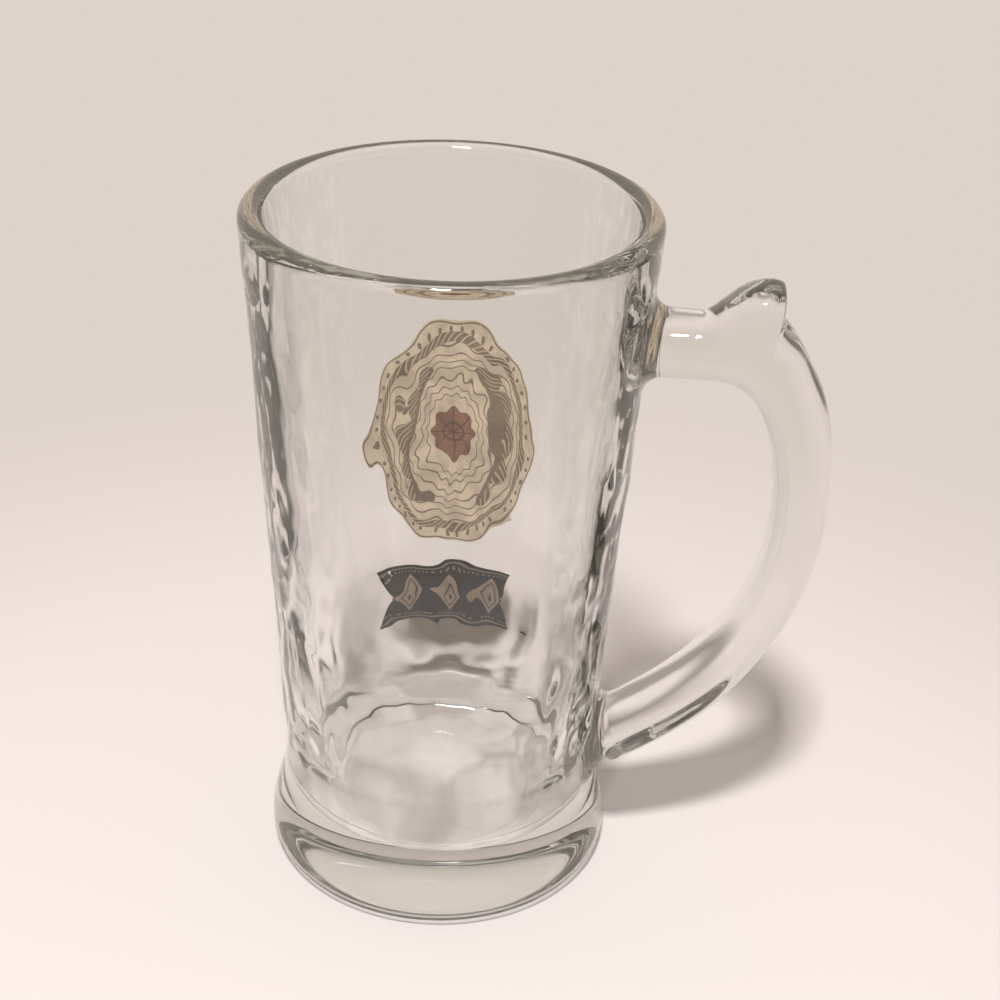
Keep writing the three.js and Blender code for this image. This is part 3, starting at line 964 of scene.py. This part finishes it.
# floor, room and lamp
stageLook = {
    "floorColour": (0.93, 0.84, 0.81, 1),
    "floorDrop": 0.1 * mm,
    "farColour": (0.735, 0.65, 0.59, 1),      # what shows of the floor far from the mug
    "farReach": (0.10, 0.28),
    "underGlow": 0.6,                         # share of painted light on the floor under the glass, seen only through the glass
    "underReach": (0.042, 0.060),
    # painted shade and painted light, rippled, on the floor under the glass
    "underShade": (0.47, 0.40, 0.36, 1),
    "underLight": (0.92, 0.82, 0.75, 1),
    "rippleScale": 34,
    "rippleTwist": 1.2,
    "rippleRange": (0.35, 0.7),
    "gatherAt": (-2 * mm, 12.5 * mm, 0),      # middle of a painted pool of light, where the bowl would gather the light
    "gatherReach": (0.0195, 0.012),
    "gatherWander": 16 * mm,
    "gatherLight": (1.0, 0.93, 0.88, 1),
    "mirrorShade": (0.055, 0.05, 0.04, 1),     # painted shade: dark tone shown to rays that come through the glass by way of a mirror face inside it
    "mirrorScale": 13,
    "mirrorReach": (0.05, 0.09),
    "mirrorFront": (-0.02, -0.08),
    "mirrorPatch": (0.62, 0.52, 0.12, 1.0),
    "mirrorRise": (0.32, 0.22),
    "fillColour": (0.10, 0.083, 0.062, 1),    # light the room itself throws on the floor
    "fillBack": (0.34, 0.29, 0.24, 1),
    "fillTurn": (0.0, 0.2),                   # where each tone gives way to the next, by direction
    "fillTop": (0.95, 0.6),
    "wallColour": (0.74, 0.665, 0.60, 1),
    "ceilingColour": (0.52, 0.47, 0.42, 1),
    "ceilingStart": (0.68, 0.85),
    "roomColour": (0.06, 0.055, 0.045, 1),
    "roomTurn": (-0.3, 0.1),
    "roomStart": (0.2, 0.4),
    "keyPower": 14,
    "keySize": (0.13, 0.11),
    "keyFrom": (0.0, -0.55, 1.06),
}


def seenRay(tree):
    path = node(tree, "ShaderNodeLightPath")
    seen = calc(tree, "MAXIMUM", path.outputs["Is Camera Ray"], path.outputs["Is Glossy Ray"])
    return calc(tree, "MAXIMUM", seen, path.outputs["Is Transmission Ray"])


# 1 for rays that come through the glass by way of a mirror face inside it
def caughtRay(tree):
    path = node(tree, "ShaderNodeLightPath")
    mirrored = calc(tree, "GREATER_THAN", path.outputs["Glossy Depth"], 0.5)
    return calc(tree, "MULTIPLY", path.outputs["Is Transmission Ray"], mirrored)


def buildFloor():
    look = stageLook
    deselectAll()
    bpy.ops.mesh.primitive_plane_add(size=8, location=(0, 0, -look["floorDrop"]))
    floor = bpy.context.object
    floor.name = "floor"
    bpy.ops.object.transform_apply(location=True, rotation=True, scale=True)
    material, tree = newMaterial("paleFloor")
    place = node(tree, "ShaderNodeTexCoord").outputs["Object"]
    cloth = node(tree, "ShaderNodeBsdfDiffuse")
    cloth.inputs["Color"].default_value = look["floorColour"]
    through = node(tree, "ShaderNodeLightPath").outputs["Is Transmission Ray"]
    reach = node(tree, "ShaderNodeVectorMath", operation="LENGTH")
    tree.links.new(place, reach.inputs[0])
    reach = reach.outputs["Value"]
    under = node(tree, "ShaderNodeEmission")           # painted light and shade, in place of the light the glass lets down to the floor
    ripple = node(tree, "ShaderNodeTexNoise", noise_dimensions="2D")
    tree.links.new(place, ripple.inputs["Vector"])
    ripple.inputs["Scale"].default_value = look["rippleScale"]
    ripple.inputs["Distortion"].default_value = look["rippleTwist"]
    patch = ramp(tree, ripple.outputs["Fac"], *look["rippleRange"])
    glow = blendColour(tree, patch, look["underShade"], look["underLight"])
    # painted pool of light on the floor under the bowl
    spot = node(tree, "ShaderNodeVectorMath", operation="DISTANCE")
    tree.links.new(place, spot.inputs[0])
    spot.inputs[1].default_value = look["gatherAt"]
    wander = calc(tree, "MULTIPLY_ADD", ripple.outputs["Fac"], look["gatherWander"], spot.outputs["Value"])
    glow = blendColour(tree, ramp(tree, wander, *look["gatherReach"]), glow, look["gatherLight"])
    tree.links.new(glow, under.inputs["Color"])
    share = calc(tree, "MULTIPLY", ramp(tree, reach, *look["underReach"], look["underGlow"], 0.0), through)
    near = mixShader(tree, share, cloth.outputs[0], under.outputs[0])
    far = node(tree, "ShaderNodeEmission")             # the wall's tone, far from the mug
    far.inputs["Color"].default_value = look["farColour"]
    share = calc(tree, "MULTIPLY", ramp(tree, reach, *look["farReach"]), seenRay(tree))
    whole = mixShader(tree, share, near, far.outputs[0])
    dim = node(tree, "ShaderNodeEmission")             # painted shade: a dark tone for what the mug wall's mirror faces show of the floor
    dim.inputs["Color"].default_value = look["mirrorShade"]
    uneven = node(tree, "ShaderNodeTexNoise", noise_dimensions="2D")
    tree.links.new(place, uneven.inputs["Vector"])
    uneven.inputs["Scale"].default_value = look["mirrorScale"]
    share = calc(tree, "MULTIPLY", caughtRay(tree), ramp(tree, reach, *look["mirrorReach"]))
    apart = node(tree, "ShaderNodeSeparateXYZ")
    tree.links.new(place, apart.inputs[0])
    front = ramp(tree, apart.outputs["Y"], *look["mirrorFront"])
    patchy = ramp(tree, uneven.outputs["Fac"], *look["mirrorPatch"])
    share = calc(tree, "MULTIPLY", share, calc(tree, "MAXIMUM", front, patchy))
    out = node(tree, "ShaderNodeOutputMaterial")
    tree.links.new(mixShader(tree, share, whole, dim.outputs[0]), out.inputs["Surface"])
    floor.data.materials.append(material)


def buildWorld():
    world = bpy.data.worlds.new("softRoom")
    bpy.context.scene.world = world
    world.use_nodes = True
    tree = world.node_tree
    tree.nodes.clear()
    look = stageLook
    way = node(tree, "ShaderNodeSeparateXYZ")
    tree.links.new(node(tree, "ShaderNodeTexCoord").outputs["Generated"], way.inputs[0])
    back = ramp(tree, way.outputs["Y"], *look["fillTurn"])
    low = ramp(tree, way.outputs["Z"], *look["fillTop"])
    fill = blendColour(tree, calc(tree, "MULTIPLY", back, low), look["fillColour"], look["fillBack"])
    # the glass shows pale walls low down and behind, a dim room over the camera and a duller ceiling
    roof = ramp(tree, way.outputs["Z"], *look["ceilingStart"])
    above = blendColour(tree, roof, look["wallColour"], look["ceilingColour"])
    upper = blendColour(tree, ramp(tree, way.outputs["Y"], *look["roomTurn"]), look["roomColour"], above)
    high = ramp(tree, way.outputs["Z"], *look["roomStart"])
    shown = blendColour(tree, high, look["wallColour"], upper)
    # painted shade: the sky turns dark for rays that come by a mirror face inside the glass
    mirror = calc(tree, "MULTIPLY", caughtRay(tree), ramp(tree, way.outputs["Z"], *look["mirrorRise"]))
    shown = blendColour(tree, mirror, shown, look["mirrorShade"])
    whole = blendColour(tree, seenRay(tree), fill, shown)
    light = node(tree, "ShaderNodeBackground")
    tree.links.new(whole, light.inputs["Color"])
    out = node(tree, "ShaderNodeOutputWorld")
    tree.links.new(light.outputs[0], out.inputs["Surface"])


def buildLights():
    deselectAll()
    bpy.ops.object.light_add(type="AREA", location=stageLook["keyFrom"])
    key = bpy.context.object
    key.name = "keyLight"
    key.data.shape = "RECTANGLE"
    key.data.size, key.data.size_y = stageLook["keySize"]
    key.data.energy = stageLook["keyPower"]
    aim = -key.location
    key.rotation_euler = aim.to_track_quat("-Z", "Y").to_euler()


# where the photograph was taken from
cameraPlace = {
    "location": (0.03957, -0.32227, 0.26361),
    "heading": 5.051,    # degrees left of the +Y axis
    "pitch": 29.19,      # degrees below the horizon
    "roll": 2.308,
    "lens": 65.906,
    "sensor": 36,
}


def buildCamera():
    turnZ = mathutils.Matrix.Rotation(math.radians(cameraPlace["heading"]), 4, "Z")
    turnX = mathutils.Matrix.Rotation(math.radians(90 - cameraPlace["pitch"]), 4, "X")
    roll = mathutils.Matrix.Rotation(math.radians(cameraPlace["roll"]), 4, "Z")
    deselectAll()
    bpy.ops.object.camera_add(location=cameraPlace["location"])
    camera = bpy.context.object
    camera.rotation_euler = (turnZ @ turnX @ roll).to_euler()
    camera.data.sensor_width = cameraPlace["sensor"]
    camera.data.lens = cameraPlace["lens"]
    bpy.context.scene.camera = camera


scene = bpy.context.scene
scene.view_settings.view_transform = "Standard"
scene.cycles.max_bounces = 32
scene.cycles.transmission_bounces = 32
scene.cycles.glossy_bounces = 16
scene.cycles.transparent_max_bounces = 48
scene.cycles.caustics_reflective = False
scene.cycles.caustics_refractive = False

body = buildBody()
bodyGlass = glassMaterial("bodyGlass", bodyWeld, glassLook["wallShadow"], glassLook["wallTint"])
body.data.materials.append(bodyGlass)
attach(body, "root")
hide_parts("mug_body")

handle = buildHandle()
handleGlass = glassMaterial("handleGlass", handleWeld, glassLook["handleShadow"], glassLook["handleTint"])
handle.data.materials.append(handleGlass)
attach(handle, "root")
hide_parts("handle")

buildBadge()
buildRibbon()
buildFloor()
buildWorld()
buildLights()
buildCamera()
